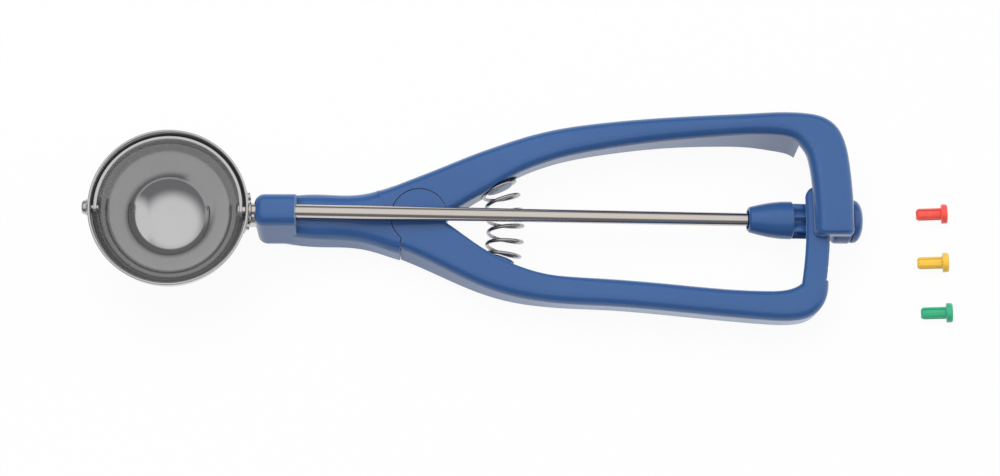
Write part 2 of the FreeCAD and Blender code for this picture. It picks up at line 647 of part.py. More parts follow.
def tangent_arc(start, corner, end):
    """The arc that touches start to corner and corner to end."""
    to_start = (start - corner).normalize()
    to_end = (end - corner).normalize()
    half = math.acos(to_start.dot(to_end)) / 2.0
    reach = (start - corner).Length
    radius = reach * math.tan(half)
    bisector = (to_start + to_end).normalize()
    middle = corner + bisector * (radius / math.sin(half) - radius)
    return Part.Arc(start, middle, end).toShape()


def make_spring():
    quarters = int(round(SPRING_TURNS * 4))
    turns = [SPRING_TURNS * i / quarters for i in range(quarters + 1)]
    edges = []
    for low, high in zip(turns[:-1], turns[1:]):
        edges += biarc(spring_point(low), spring_direction(low), spring_point(high), spring_direction(high))
    path = Part.Wire(edges)
    start = spring_point(0.0)
    section = Part.Wire([Part.makeCircle(WIRE_R, start, spring_direction(0.0))])
    tube = path.makePipeShell([section], True, False)
    check_spring_gap()
    return tube


def check_spring_gap():
    """Print the least gap between one coil and the next, measured on points."""
    per_turn = 24
    count = int(SPRING_TURNS * per_turn) + 1
    points = [spring_point(i / per_turn) for i in range(count)]
    least = min((points[i] - points[j]).Length for i in range(count) for j in range(i + per_turn // 2, count))
    print("least gap of the spring to itself: %.2f mm" % (least - 2.0 * WIRE_R))


def spring_seat(share, sign, extra):
    """Cutter and peg of a seat; sign says which way the handle lies along the centre line."""
    foot, along, out = spring_station(share)
    outward = along * sign
    floor = foot + outward * (WIRE_R + SEAT_GAP)
    cutter = Part.makeCylinder(SEAT_R, 9.0, floor, outward * -1.0)
    peg = Part.makeCylinder(PEG_R, PEG_LENGTH + extra, floor + outward * extra, outward * -1.0)
    return cutter, peg


# Fixed handle


def make_head():
    wire = keystone_section(HEAD_START, HEAD_HALF_BOTTOM, HEAD_HALF_TOP, HEAD_BOTTOM, HEAD_TOP,
                            HEAD_ROUND, HEAD_ROUND)
    head = Part.Face(wire).extrude(V(HEAD_END - HEAD_START, 0, 0))
    front = [e for e in head.Edges if abs(e.BoundBox.XMax - HEAD_START) < 0.01]
    return head.makeFillet(HEAD_FRONT_ROUND, front)


def make_grip(stations):
    """A grip lofted through its stations, with a level foot."""
    grip = Part.makeLoft([grip_section(s) for s in stations], True, False)
    return grip.cut(box((0, -60, -5), (230, 60, FOOT_HEIGHT)))


def seam_side(start, end, near_y):
    """The space from start to end square to the slanted seam, as far up as near_y along it."""
    space = box((start, -60, -5), (end, near_y, 40))
    space.rotate(V(0, 0, 0), Z_AXIS, -SEAM_SLANT_DEG)
    space.translate(V(SEAM_X, SEAM_Y, 0))
    return space


def make_neck():
    sections = []
    for x, half_foot, half_top, low, high in NECK:
        sections.append(keystone_section(stretched(x), half_foot, half_top, low, high,
                                         NECK_BOTTOM_ROUND, NECK_TOP_ROUND))
    return Part.makeLoft(sections, True, False)


def make_fixed_handle():
    pivot = V(PIVOT_X, 0, 0)
    grip = make_grip(FIXED_GRIP)
    grip = grip.cut(box((GRIP_END_X, -60, -5), (230, PLATE_END_Y, 40)))
    end_edges = [e for e in grip.Edges if abs(e.BoundBox.YMax - PLATE_END_Y) < 0.01]
    grip = grip.makeFillet(PLATE_END_ROUND, end_edges)
    body = make_neck().fuse(grip)
    body = body.cut(cylinder(DISC_R + DISC_GAP, LAP_TOP, PLATE_TOP + 5, Z_AXIS, pivot))
    swing = cylinder(ARM_OUTER_R + SWING_GAP, -5, ARM_TOP + ARM_GAP, Z_AXIS, pivot)
    swing = swing.common(box((GRIP_END_X, -60, -5), (230, SWING_END_Y, 30)))
    body = body.cut(swing)
    body = body.cut(box((GRIP_END_X, -60, -5), (230, FLANGE_END_Y, ARM_TOP + ARM_GAP)))
    body = body.cut(seam_side(0, 60, 0))
    body = body.fuse(make_head())
    body = body.fuse(cylinder(DISC_R, LAP_BOTTOM, LAP_TOP, Z_AXIS, pivot))
    barrel = cylinder(BARREL_R, BARREL_START, BARREL_END, X_AXIS)
    ends = [e for e in barrel.Edges if e.Closed and abs(e.Length - 2 * math.pi * BARREL_R) < 0.01]
    body = body.fuse(tilted(barrel.makeFillet(BARREL_ROUND, ends)))
    cutter, peg = spring_seat(0.0, -1, 3.0)
    body = body.cut(cutter).fuse(peg)
    body = body.cut(tilted(cylinder(ROD_R + RUNNING_GAP, 20, HEAD_END + 10, X_AXIS)))
    body = body.cut(tilted(cylinder(BEARING_R, BARREL_START - 1.5, BARREL_END + 1, X_AXIS)))
    body = body.cut(tilted(cylinder(CAP_SKIRT_R, BARREL_END - CAP_SKIRT_LENGTH, BARREL_END + 1, X_AXIS)))
    body = body.cut(tilted(cylinder(CAP_R + CAP_GAP, BARREL_END, BARREL_END + 6, X_AXIS)))
    body = body.cut(at_bowl(make_bowl_shank()))
    body = body.cut(cylinder(PIVOT_PIN_R, 0, LAP_TOP + 1, Z_AXIS, pivot))
    body = body.cut(cylinder(CLIP_R + 0.3, 0, LAP_BOTTOM + CLIP_RECESS, Z_AXIS, pivot))
    return body.removeSplitter()


# Lever handle


def arm_sector(profile, start_deg, end_deg):
    """A profile in the upright plane through the pivot, turned about the pivot."""
    outline = [V(PIVOT_X + r, 0, z) for r, z in profile]
    solid = turned(outline, V(PIVOT_X, 0, 0), Z_AXIS, end_deg - start_deg)
    solid.rotate(V(PIVOT_X, 0, 0), Z_AXIS, start_deg)
    return solid


def rack_line_z(x, w):
    """Height at x of a line that runs w above the rod's centre line."""
    return rod_z(x) + w / math.cos(TILT)


def make_rack_tooth():
    slope = math.tan(math.radians(PRESSURE_DEG))
    half_pitch_width = math.pi * MODULE / 4.0 - FLANK_GAP / 2.0
    half_tip = half_pitch_width - RACK_ADDENDUM * slope
    foot_w = RACK_ROOT_W + 0.3
    half_foot = half_pitch_width + (foot_w - PINION_PITCH_R) * slope
    start = (PIVOT_X + ARM_INNER_R) / math.cos(TILT) + 0.1
    end = (PIVOT_X + ARM_OUTER_R) / math.cos(TILT) - 0.3
    outline = [
        V(start, -half_foot, foot_w), V(start, -half_tip, RACK_TIP_W),
        V(start, half_tip, RACK_TIP_W), V(start, half_foot, foot_w),
    ]
    face = Part.Face(Part.makePolygon(outline + [outline[0]]))
    return tilted(face.extrude(V(end - start, 0, 0)))


def make_arm():
    x_in = PIVOT_X + ARM_INNER_R
    x_out = PIVOT_X + ARM_OUTER_R
    profile = [
        (ARM_INNER_R, rack_line_z(x_in, RACK_ROOT_W)), (ARM_OUTER_R, rack_line_z(x_out, RACK_ROOT_W)),
        (ARM_OUTER_R, ARM_TOP - 0.7), (ARM_OUTER_R - 0.7, ARM_TOP),
        (ARM_INNER_R + 0.7, ARM_TOP), (ARM_INNER_R, ARM_TOP - 0.7),
    ]
    arm = arm_sector(profile, ARM_ROOT_DEG, ARM_TIP_DEG)
    middle = (ARM_INNER_R + ARM_OUTER_R) / 2.0
    half_width = (ARM_OUTER_R - ARM_INNER_R) / 2.0
    tip_angle = math.radians(ARM_TIP_DEG)
    tip = V(PIVOT_X + middle * math.cos(tip_angle), middle * math.sin(tip_angle), 0)
    low = rack_line_z(x_in, RACK_ROOT_W)
    arm = arm.fuse(cylinder(half_width, low, ARM_TOP - 0.7, Z_AXIS, tip))
    cone = Part.makeCone(half_width, half_width - 0.7, 0.7, tip + Z_AXIS * (ARM_TOP - 0.7))
    arm = arm.fuse(cone)
    tooth = make_rack_tooth()
    for i in range(RACK_TEETH):
        one = tooth.copy()
        pitches = RACK_TEETH_BEYOND_ROD - 0.5 - i
        one.rotate(V(PIVOT_X, 0, 0), Z_AXIS, 360.0 * pitches / RACK_CIRCLE_TEETH)
        arm = arm.fuse(one)
    return arm


def make_lever_handle():
    pivot = V(PIVOT_X, 0, 0)
    body = make_grip(LEVER_GRIP)
    body = body.cut(seam_side(-60, SEAM_GAP, 80))
    body = body.cut(cylinder(DISC_R + DISC_GAP, -5, DISC_BOTTOM, Z_AXIS, pivot))
    ring_in = cylinder(ARM_INNER_R - 20.0, -5, 40, Z_AXIS, pivot)
    body = body.cut(box((GRIP_END_X - 1.5, -19.5, -5), (230, 60, 40)).cut(ring_in))
    body = body.fuse(cylinder(DISC_R, DISC_BOTTOM, DISC_TOP, Z_AXIS, pivot))
    body = body.fuse(make_arm())
    cutter, peg = spring_seat(1.0, 1, 3.0)
    body = body.cut(cutter).fuse(peg)
    body = body.cut(cylinder(PIVOT_PIN_R + RUNNING_GAP, 0, DISC_TOP + 1, Z_AXIS, pivot))
    cap_floor = DISC_TOP - PIVOT_CAP_THICK
    body = body.cut(cylinder(PIVOT_CAP_R, cap_floor, DISC_TOP + 1, Z_AXIS, pivot))
    head_floor = cap_floor - PIVOT_HEAD_THICK - 0.1
    body = body.cut(cylinder(PIVOT_HEAD_R + 0.2, head_floor, DISC_TOP, Z_AXIS, pivot))
    return body.removeSplitter()


# Pivot pieces


def make_pivot_pin():
    pivot = V(PIVOT_X, 0, 0)
    head_top = DISC_TOP - PIVOT_CAP_THICK - 0.05
    head = cylinder(PIVOT_HEAD_R, head_top - PIVOT_HEAD_THICK, head_top, Z_AXIS, pivot)
    return head.fuse(cylinder(PIVOT_PIN_R, LAP_BOTTOM, head_top, Z_AXIS, pivot)).removeSplitter()


def ring_on_pivot(outer_r, inner_r, low, high):
    pivot = V(PIVOT_X, 0, 0)
    return cylinder(outer_r, low, high, Z_AXIS, pivot).cut(cylinder(inner_r, -5, 30, Z_AXIS, pivot))


# Loose marker plugs


def make_plug(head_x, y):
    head = cylinder(PLUG_HEAD_R, 0, PLUG_HEAD_THICK, X_AXIS)
    rim = [e for e in head.Edges if e.Closed and abs(e.CenterOfMass.x - PLUG_HEAD_THICK) < 0.01]
    plug = head.makeFillet(0.6, rim)
    plug = plug.fuse(cylinder(PLUG_CORE_R, -PLUG_LENGTH, 0, X_AXIS))
    half = PLUG_RIB_WIDTH / 2.0
    for i in range(2):
        rib = box((-PLUG_LENGTH, -half, -PLUG_BODY_R), (0, half, PLUG_BODY_R))
        rib.rotate(V(0, 0, 0), X_AXIS, 90.0 * i + 45.0)
        plug = plug.fuse(rib)
    tip = V(-PLUG_LENGTH, 0, 0)
    nose = Part.makeCone(PLUG_BODY_R - PLUG_CHAMFER, PLUG_BODY_R + 2.0, PLUG_CHAMFER + 2.0, tip, X_AXIS)
    behind = cylinder(PLUG_HEAD_R + 1, -PLUG_LENGTH + PLUG_CHAMFER + 1.0, PLUG_HEAD_THICK + 1, X_AXIS)
    keep = nose.fuse(behind)
    plug = plug.common(keep).removeSplitter()
    lean = math.degrees(math.atan2(PLUG_HEAD_R - PLUG_BODY_R, PLUG_LENGTH))
    plug.rotate(V(0, 0, 0), Y_AXIS, -lean)
    plug.translate(V(head_x, y, -plug.BoundBox.ZMin))
    return plug


def build():
    nodes = {
        "bowl": at_bowl(make_bowl()),
        "bowl_shank": at_bowl(make_bowl_shank()),
        "saddle_rivets": at_bowl(make_saddle_rivets()),
        "front_pin": at_bowl(make_front_pin()),
        "front_washer": at_bowl(make_front_washer()),
        "scraper_blade": at_bowl(make_scraper()),
        "drive_rod": tilted(make_drive_rod()),
        "rod_washer": tilted(make_rod_washer()),
        "drive_pinion": tilted(make_pinion()),
        "rear_cap": tilted(make_rear_cap()),
        "fixed_handle": make_fixed_handle(),
        "lever_handle": make_lever_handle(),
        "handle_spring": make_spring(),
        "pivot_pin": make_pivot_pin(),
        "pivot_cap": cylinder(PIVOT_CAP_R, DISC_TOP - PIVOT_CAP_THICK, DISC_TOP, Z_AXIS, V(PIVOT_X, 0, 0)),
        "pivot_washer": ring_on_pivot(PIVOT_WASHER_R, PIVOT_PIN_R, LAP_TOP, LAP_TOP + PIVOT_WASHER_THICK),
        "pivot_clip": ring_on_pivot(CLIP_R, PIVOT_PIN_R, LAP_BOTTOM + CLIP_RECESS - CLIP_THICK,
                                    LAP_BOTTOM + CLIP_RECESS),
    }
    for name, (x, y) in PLUG_PLACES.items():
        nodes[name] = make_plug(x, y)
    return nodes


def centre_on_table(nodes):
    """Move every node so that the middle of the whole outline on the table is the origin, and
    lift them all where the bowl would reach below the table."""
    outlines = [shape.optimalBoundingBox(True) for shape in nodes.values()]
    middle_x = (min(b.XMin for b in outlines) + max(b.XMax for b in outlines)) / 2.0
    middle_y = (min(b.YMin for b in outlines) + max(b.YMax for b in outlines)) / 2.0
    bowl_height = ROD_HEIGHT - BOWL_PLACE * math.sin(TILT)
    lift = max(0.0, BOWL_OUTSIDE_R - bowl_height)
    for shape in nodes.values():
        shape.translate(V(-middle_x, -middle_y, lift))
    print("moved by %.3f %.3f, lowest point %.3f" % (-middle_x, -middle_y, min(b.ZMin for b in outlines)))


if __name__ == "__main__":
    os.makedirs("parts", exist_ok=True)
    all_nodes = build()
    centre_on_table(all_nodes)
    for node_name, shape in all_nodes.items():
        shape.exportStep("parts/%s.step" % node_name)
        print(node_name, shape.isValid(), len(shape.Solids), round(shape.Volume, 1))
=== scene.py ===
import bmesh
import bpy
import json
import math
import numpy as np
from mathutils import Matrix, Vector


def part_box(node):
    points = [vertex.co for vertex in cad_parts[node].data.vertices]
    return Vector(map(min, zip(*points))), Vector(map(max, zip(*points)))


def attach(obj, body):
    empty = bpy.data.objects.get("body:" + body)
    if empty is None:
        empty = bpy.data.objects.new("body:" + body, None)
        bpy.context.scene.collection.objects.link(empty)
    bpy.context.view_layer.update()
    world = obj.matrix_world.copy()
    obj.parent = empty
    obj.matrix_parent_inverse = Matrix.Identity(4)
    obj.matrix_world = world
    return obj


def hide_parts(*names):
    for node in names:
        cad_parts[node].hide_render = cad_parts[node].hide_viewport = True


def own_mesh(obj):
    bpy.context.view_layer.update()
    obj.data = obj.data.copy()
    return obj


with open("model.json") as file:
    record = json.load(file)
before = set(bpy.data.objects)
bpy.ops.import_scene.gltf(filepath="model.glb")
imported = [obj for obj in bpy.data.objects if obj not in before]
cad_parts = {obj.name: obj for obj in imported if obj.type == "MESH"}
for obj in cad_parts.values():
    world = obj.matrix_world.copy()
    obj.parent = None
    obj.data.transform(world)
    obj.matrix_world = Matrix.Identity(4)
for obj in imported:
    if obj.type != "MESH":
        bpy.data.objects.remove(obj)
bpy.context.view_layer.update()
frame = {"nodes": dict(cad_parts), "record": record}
nodes = frame["nodes"]


# Studio: the scoop lies on a white table top and is seen from almost straight above, from the
# side of the lever grip. The table is white to the eye and in the steel, and holds a faint shadow.

def linear(code):
    """An sRGB hex colour as linear red, green, blue and alpha 1."""
    parts = [int(code[i:i + 2], 16) / 255.0 for i in (1, 3, 5)]
    return [c / 12.92 if c <= 0.04045 else ((c + 0.055) / 1.055) ** 2.4 for c in parts] + [1.0]


def add_node(tree, kind, settings=None, links=None):
    """Add a node, set its sockets or properties, and link its inputs from other sockets."""
    node = tree.nodes.new(kind)
    for key, value in (settings or {}).items():
        if isinstance(key, int) or key in node.inputs:
            node.inputs[key].default_value = value
        else:
            setattr(node, key, value)
    for key, source in (links or {}).items():
        tree.links.new(source, node.inputs[key])
    return node


def new_material(name):
    """An empty node material and its tree."""
    material = bpy.data.materials.new(name)
    material.use_nodes = True
    material.node_tree.nodes.clear()
    return material, material.node_tree


scene = bpy.context.scene
scene.view_settings.view_transform = "Standard"

CAMERA_ELEVATION = math.radians(77.0)
CAMERA_DISTANCE = 0.700
CAMERA_AIM = (-0.006583, -0.003341)
CAMERA_LENS = 83.78
SENSOR_WIDTH = 36.0
lens = bpy.data.cameras.new("photo_camera")
lens.lens = CAMERA_LENS
lens.sensor_width = SENSOR_WIDTH
lens.clip_end = 20.0
camera = bpy.data.objects.new("photo_camera", lens)
camera.location = (
    CAMERA_AIM[0],
    CAMERA_AIM[1] - CAMERA_DISTANCE * math.cos(CAMERA_ELEVATION),
    CAMERA_DISTANCE * math.sin(CAMERA_ELEVATION),
)
camera.rotation_euler = (math.pi / 2.0 - CAMERA_ELEVATION, 0.0, 0.0)
scene.collection.objects.link(camera)
scene.camera = camera

TABLE_HALF = 3.0
TABLE_DROP = 0.0001
TABLE_GLOW = 0.94
table_mesh = bpy.data.meshes.new("table_top")
table_corners = [(x * TABLE_HALF, y * TABLE_HALF, 0.0) for x, y in ((-1, -1), (1, -1), (1, 1), (-1, 1))]
table_mesh.from_pydata(table_corners, [], [(0, 1, 2, 3)])
table = bpy.data.objects.new("table_top", table_mesh)
table.location.z = -TABLE_DROP
scene.collection.objects.link(table)
white_laminate, tree = new_material("white laminate")
path = add_node(tree, "ShaderNodeLightPath")
seen = add_node(tree, "ShaderNodeMath", {"operation": "MAXIMUM"},
                {0: path.outputs["Is Camera Ray"], 1: path.outputs["Is Glossy Ray"]})
share = add_node(tree, "ShaderNodeMath", {"operation": "MULTIPLY", 1: TABLE_GLOW}, {0: seen.outputs[0]})
paper = add_node(tree, "ShaderNodeBsdfDiffuse", {"Color": linear("#F2F2F2")})
white = add_node(tree, "ShaderNodeEmission", {"Strength": 1.0})
mixed = add_node(tree, "ShaderNodeMixShader", {},
                 {0: share.outputs[0], 1: paper.outputs[0], 2: white.outputs[0]})
add_node(tree, "ShaderNodeOutputMaterial", {}, {"Surface": mixed.outputs[0]})
table_mesh.materials.append(white_laminate)

# The room is dim at the walls, with a white diffuser overhead and a second panel up on the right.
# Each panel has a direction, and the cosines of the angles from it where it begins and is full.
WALLS = "#7C7C80"
DIFFUSER = "#FFFFFF"
PANELS = {"overhead": ((0.02, 0.16, 0.99), 0.56, 0.84), "right": ((0.84, 0.22, 0.50), 0.72, 0.93)}
room = bpy.data.worlds.new("studio_room")
scene.world = room
room.use_nodes = True
tree = room.node_tree
tree.nodes.clear()
direction = add_node(tree, "ShaderNodeTexCoord")
shares = []
for facing, edge, full in PANELS.values():
    facing = Vector(facing).normalized()
    aimed = add_node(tree, "ShaderNodeVectorMath", {"operation": "DOT_PRODUCT", 1: facing},
                     {0: direction.outputs["Generated"]})
    shares.append(add_node(tree, "ShaderNodeMapRange", {"interpolation_type": "SMOOTHSTEP", "From Min": edge,
                                                        "From Max": full}, {"Value": aimed.outputs["Value"]}))
lit = add_node(tree, "ShaderNodeMath", {"operation": "MAXIMUM"},
               {0: shares[0].outputs[0], 1: shares[1].outputs[0]})
shown = add_node(tree, "ShaderNodeMixRGB", {"Color1": linear(WALLS), "Color2": linear(DIFFUSER)},
                 {"Fac": lit.outputs[0]})
path = add_node(tree, "ShaderNodeLightPath")
seen_sky = add_node(tree, "ShaderNodeMixRGB", {"Color2": linear(DIFFUSER)},
                    {"Fac": path.outputs["Is Camera Ray"], "Color1": shown.outputs[0]})
sky = add_node(tree, "ShaderNodeBackground", {"Strength": 1.0}, {"Color": seen_sky.outputs[0]})
add_node(tree, "ShaderNodeOutputWorld", {}, {"Surface": sky.outputs[0]})

KEY_SIZE = 0.9
KEY_PLACE = (-0.30, 0.50, 1.20)
KEY_POWER = 8.0
key_light = bpy.data.lights.new("key_softbox", "AREA")
key_light.size = KEY_SIZE
key_light.energy = KEY_POWER
key_softbox = bpy.data.objects.new("key_softbox", key_light)
key_softbox.location = KEY_PLACE
key_softbox.rotation_euler = (-Vector(KEY_PLACE)).to_track_quat("-Z", "Y").to_euler()
key_softbox.visible_glossy = False
scene.collection.objects.link(key_softbox)


# Bowl: a half sphere pressed from 0.8 mm stainless sheet, with a short upright wall and a lip
# flared out by 0.6 mm, then polished bright inside and out on a spindle.

MM = 0.001
BOWL_INSIDE_R = 22.0
BOWL_WALL = 0.8
BOWL_OUTSIDE_R = BOWL_INSIDE_R + BOWL_WALL
LIP_FOOT = 0.7
LIP_TOP = 2.6
LIP_OUT = 0.6
LIP_ROUND = 0.35
joints = {joint["name"]: joint for joint in frame["record"]["behaviour"]["joints"]}
rod_axis = np.array(joints["rod_spin"]["axis"])
JOINT_FROM_BOWL = 100.0
bowl_centre = np.array(joints["rod_spin"]["pos_m"]) - MM * JOINT_FROM_BOWL * rod_axis
ROD_TURN = np.array([rod_axis, [0.0, 1.0, 0.0], [-rod_axis[2], 0.0, rod_axis[0]]])
ROD_TILT = math.asin(-rod_axis[2])


def on_rod(points):
    """Points in mm along the rod, across it and square to both, from the bowl's centre, as metres
    on the table: the centre plus each number times its direction."""
    return bowl_centre + MM * (points @ ROD_TURN)


def rounded(corners, radii, steps=6, closed=False):
    """A line through corners, each replaced by an arc of its radius that touches both sides:
    the arc swings from one touching point to the other about their common centre."""
    corners = np.array(corners, dtype=float)
    last = len(corners) - 1
    line = []
    for i, (corner, radius) in enumerate(zip(corners, radii)):
        if radius == 0.0 or (not closed and i in (0, last)):
            line.append(corner[None])
            continue
        before = corners[i - 1] - corner
        after = corners[(i + 1) % len(corners)] - corner
        before = before / np.linalg.norm(before)
        after = after / np.linalg.norm(after)
        half = math.acos(float(before @ after)) / 2.0
        swing = math.pi - 2.0 * half
        centre = corner + (before + after) / np.linalg.norm(before + after) * radius / math.sin(half)
        first = corner + before * radius / math.tan(half) - centre
        final = corner + after * radius / math.tan(half) - centre
        t = np.linspace(0.0, 1.0, steps + 1)[:, None]
        arc = np.sin((1.0 - t) * swing) * first + np.sin(t * swing) * final
        line.append(centre + arc / math.sin(swing))
    return np.concatenate(line)


def turned(profile, count):
    """A profile of distance along an axis and radius, turned about it: the radius times the sine
    and the cosine of each angle."""
    angle = np.linspace(0.0, 2.0 * math.pi, count, endpoint=False)
    along = np.repeat(profile[:, :1], count, axis=1)
    radius = profile[:, 1:]
    return np.stack([along, radius * np.sin(angle), radius * np.cos(angle)], axis=-1)


SHARP_ANGLE = math.radians(38.0)
WELD = 1e-8


def piece(name, rows, material, body, stands_for, looped=False):
    """A closed skin through rows of points in metres, each row a ring, from row to row, and from
    the last row to the first where looped. It rides on a body in place of its node."""
    count = rows.shape[1]
    index = np.arange(rows.shape[0] * count).reshape(-1, count)
    here = index if looped else index[:-1]
    there = np.roll(index, -1, axis=0) if looped else index[1:]
    quads = np.stack([here, np.roll(here, -1, axis=1), np.roll(there, -1, axis=1), there], axis=-1)
    mesh = bpy.data.meshes.new(name)
    mesh.from_pydata(rows.reshape(-1, 3).tolist(), [], quads.reshape(-1, 4).tolist())
    shell = bmesh.new()
    shell.from_mesh(mesh)
    bmesh.ops.remove_doubles(shell, verts=shell.verts, dist=WELD)
    bmesh.ops.recalc_face_normals(shell, faces=shell.faces)
    shell.to_mesh(mesh)
    shell.free()
    mesh.polygons.foreach_set("use_smooth", [True] * len(mesh.polygons))
    mesh.set_sharp_from_angle(angle=SHARP_ANGLE)
    mesh.materials.append(material)
    made = bpy.data.objects.new(name, mesh)
    scene.collection.objects.link(made)
    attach(made, body)
    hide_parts(stands_for)
    return made


LINE_SHARE = 0.35
DULL_SHARE = 0.90


def steel(name, colour, roughness, line_mm, line_axis, smudge_mm, depth, metallic=1.0):
    """Stainless steel from one recipe: a bright grey metal, lines left by polishing at a spacing
    along one axis of the rod, and faint smudges that change its roughness and tone. A share that
    isn't metallic stands for the haze that a wiped surface always has."""
    material, tree = new_material(name)
    place = add_node(tree, "ShaderNodeTexCoord")
    square = add_node(tree, "ShaderNodeMapping", {"Rotation": (0.0, -ROD_TILT, 0.0)},
                      {"Vector": place.outputs["Object"]})
    split = add_node(tree, "ShaderNodeSeparateXYZ", {}, {0: square.outputs[0]})
    lines = add_node(tree, "ShaderNodeTexNoise", {"noise_dimensions": "1D", "Scale": 1.0 / (MM * line_mm),
                                                  "Detail": 2.0, "Roughness": 0.6},
                     {"W": split.outputs[line_axis]})
    smudge = add_node(tree, "ShaderNodeTexNoise", {"Scale": 1.0 / (MM * smudge_mm), "Detail": 4.0,
                                                   "Roughness": 0.55}, {"Vector": square.outputs[0]})
    blend = add_node(tree, "ShaderNodeMath", {"operation": "MULTIPLY_ADD", 1: LINE_SHARE},
                     {0: lines.outputs["Fac"], 2: smudge.outputs["Fac"]})
    rough = add_node(tree, "ShaderNodeMapRange", {"From Min": 0.45, "From Max": 0.90,
                                                  "To Min": 0.75 * roughness, "To Max": 1.35 * roughness},
                     {"Value": blend.outputs[0]})
    bright = linear(colour)
    dull = [DULL_SHARE * c for c in bright[:3]] + [1.0]
    tone = add_node(tree, "ShaderNodeMixRGB", {"Color1": dull, "Color2": bright},
                    {"Fac": smudge.outputs["Fac"]})
    bump = add_node(tree, "ShaderNodeBump", {"Strength": 0.25, "Distance": depth},
                    {"Height": lines.outputs["Fac"]})
    surface = add_node(tree, "ShaderNodeBsdfPrincipled", {"Metallic": metallic},
                       {"Base Color": tone.outputs[0], "Roughness": rough.outputs[0],
                        "Normal": bump.outputs[0]})
    add_node(tree, "ShaderNodeOutputMaterial", {}, {"Surface": surface.outputs[0]})
    return material


# Spindle polish leaves the bowl a mirror with rings too fine to see one by one; drawn 0.5 mm apart.
polished_steel = steel("spindle polished stainless steel", "#C6C6C6", 0.06, 0.5, "Z", 14.0, 0.0000006, 0.88)

BOWL_STEPS = 90
BOWL_AROUND = 256
down = np.linspace(-math.pi / 2.0, 0.0, BOWL_STEPS)
lip = rounded([(0.0, BOWL_OUTSIDE_R), (LIP_FOOT, BOWL_OUTSIDE_R), (LIP_TOP, BOWL_OUTSIDE_R + LIP_OUT),
               (LIP_TOP, BOWL_INSIDE_R + LIP_OUT), (LIP_FOOT, BOWL_INSIDE_R), (0.0, BOWL_INSIDE_R)],
              [0.0, 1.0, LIP_ROUND, LIP_ROUND, 1.0, 0.0])
outside = BOWL_OUTSIDE_R * np.stack([np.sin(down), np.cos(down)], axis=-1)
inside = BOWL_INSIDE_R * np.stack([np.sin(down), np.cos(down)], axis=-1)[::-1]
bowl_profile = np.concatenate([outside[:-1], lip, inside[1:]])
bowl_rows = turned(bowl_profile, BOWL_AROUND)[..., [2, 1, 0]]
piece("bowl_shell", on_rod(bowl_rows), polished_steel, "handle", "bowl")


# Shank: a saddle of steel strip riveted to the outside of the bowl, with the flat bar that the
# head is moulded round. The two rivets have low domed heads.

# Barrel finished fittings are brighter than they are smooth, with a fine even grain.
satin_steel = steel("barrel finished stainless steel", "#C9C5C1", 0.20, 0.4, "X", 3.0, 0.000004)


def finish_node(name, material):
    """Give a solid that is carried over its material."""
    target = nodes[name].data
    target.materials.clear()
    target.materials.append(material)


finish_node("bowl_shank", satin_steel)
finish_node("saddle_rivets", satin_steel)


# Front pin: a turned steel pin with a domed head, put in from outside over a thin washer, on
# which the front eye of the scraper turns.

PIN_HEAD_R = 2.05
PIN_HEAD_THICK = 1.2
PIN_R = 1.0
PIN_INSIDE = 20.1
WASHER_R = 2.4
WASHER_THICK = 0.4
SMALL_AROUND = 64
rim_r = BOWL_OUTSIDE_R + LIP_OUT
head_foot = -(rim_r + WASHER_THICK)
pin_profile = rounded([(head_foot - PIN_HEAD_THICK, 0.0), (head_foot - PIN_HEAD_THICK, PIN_HEAD_R),
                       (head_foot, PIN_HEAD_R), (head_foot, PIN_R), (-PIN_INSIDE, PIN_R), (-PIN_INSIDE, 0.0)],
                      [0.0, 0.75, 0.12, 0.0, 0.3, 0.0])
piece("front_pin_turned", on_rod(turned(pin_profile, SMALL_AROUND)), satin_steel, "handle", "front_pin")
washer_profile = rounded([(head_foot, PIN_R), (head_foot, WASHER_R), (-rim_r, WASHER_R), (-rim_r, PIN_R)],
                         [0.0, 0.12, 0.12, 0.0], closed=True)
piece("front_washer_stamped", on_rod(turned(washer_profile, SMALL_AROUND)), satin_steel, "handle",
      "front_washer", looped=True)


# Scraper: a strip of 1 mm steel bent to the inside of the bowl, with a rounded eye at each end,
# on the rod behind and on the pin in front. It sweeps the bowl when the rod turns.

SCRAPER_R = 21.7
SCRAPER_THICK = 1.0
REAR_EYE_R = 3.2
FRONT_EYE_R = 1.9
SCRAPER_REST = math.radians(-2.5)
EDGE_ROUND = 0.28
END_STEPS = 20
SWEEP_STEPS = 120
CORNER_STEPS = 5
sweep_start = -FRONT_EYE_R / SCRAPER_R
sweep_end = math.pi + REAR_EYE_R / SCRAPER_R
eased = (1.0 - np.cos(np.linspace(0.0, math.pi, 2 * END_STEPS))) / 2.0
eased = eased[:END_STEPS]
sweep = np.concatenate([eased * 2.0 * -sweep_start + sweep_start,
                        np.linspace(0.0, math.pi, SWEEP_STEPS + 1)[1:-1],
                        sweep_end - (eased * 2.0 * (sweep_end - math.pi))[::-1]])
past_front = np.clip(sweep / sweep_start, 0.0, 1.0)
past_rear = np.clip((sweep - math.pi) / (sweep_end - math.pi), 0.0, 1.0)
half_width = FRONT_EYE_R + (REAR_EYE_R - FRONT_EYE_R) * (1.0 - np.cos(np.clip(sweep, 0.0, math.pi))) / 2.0
half_width = half_width * np.sqrt(np.maximum(0.0, 1.0 - past_front ** 2))
half_width = half_width * np.sqrt(np.maximum(0.0, 1.0 - past_rear ** 2))
corner = np.linspace(0.0, math.pi / 2.0, CORNER_STEPS)
corner_angle = np.concatenate([corner + quarter * math.pi / 2.0 for quarter in range(4)])
side = np.repeat([1.0, -1.0, -1.0, 1.0], CORNER_STEPS)
face = np.repeat([1.0, 1.0, 0.0, 0.0], CORNER_STEPS)
flat = np.maximum(half_width[:, None] - EDGE_ROUND, 0.0)
bend = np.minimum(half_width[:, None], EDGE_ROUND)
across = side * flat + bend * np.cos(corner_angle)
